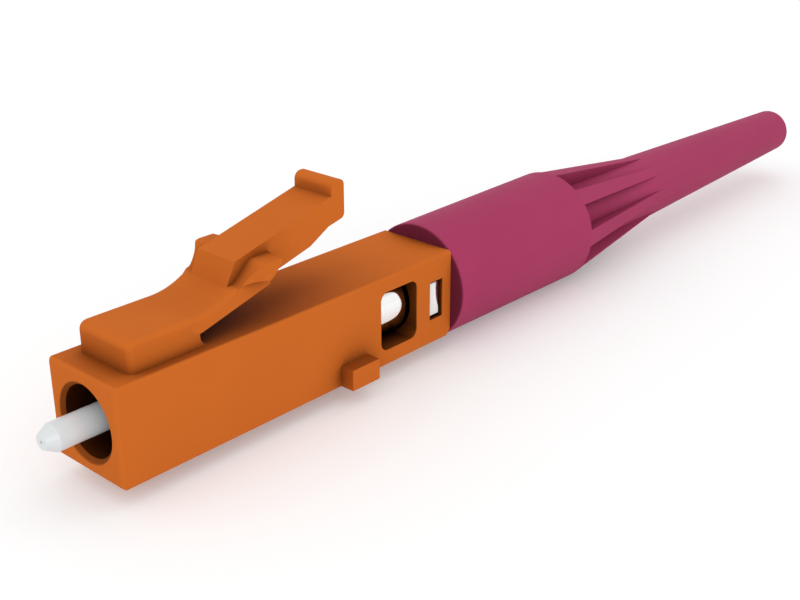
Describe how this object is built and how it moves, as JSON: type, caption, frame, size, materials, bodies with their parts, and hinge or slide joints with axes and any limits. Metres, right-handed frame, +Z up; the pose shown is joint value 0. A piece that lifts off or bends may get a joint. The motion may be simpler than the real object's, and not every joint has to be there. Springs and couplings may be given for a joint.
{
  "type": "fibre optic connector",
  "caption": "Slim square fibre plug with a sprung ceramic ferrule, a press latch on top and a long tapered strain relief boot.",
  "frame": {"origin": "on the fibre axis, in the plane of the housing's front face", "axes": "+X back along the fibre axis to the boot, +Z up to the latch, Y across"},
  "size_m": [0.0609, 0.0062, 0.0103],
  "materials": {
    "housing_plastic": "smooth moulded, satin",
    "ceramic": "ground white ceramic",
    "plated_metal": "bright nickel plate",
    "tube_plastic": "natural plastic",
    "spring_steel": "drawn wire",
    "boot_rubber": "soft moulded, satin"
  },
  "bodies": {
    "plug": {"plug_housing": "housing_plastic", "rear_body": "plated_metal", "crimp_ring": "plated_metal", "boot": "boot_rubber", "spring": "spring_steel"},
    "ferrule_group": {"ferrule": "ceramic", "ferrule_flange": "plated_metal", "guide_tube": "tube_plastic"},
    "latch": {"latch_lever": "housing_plastic"}
  },
  "joints": [
    {"name": "ferrule_float", "type": "slide", "parent": "plug", "child": "ferrule_group", "axis": [1, 0, 0], "range_m": [0, 0.001], "stiffness_N_per_m": 1500, "deforming": ["spring"]},
    {"name": "latch_press", "type": "hinge", "parent": "plug", "child": "latch", "pos_m": [0.0047, 0, 0.00321], "axis": [0, 1, 0], "range_deg": [0, 15], "stiffness_Nm_per_rad": 0.12}
  ]
}
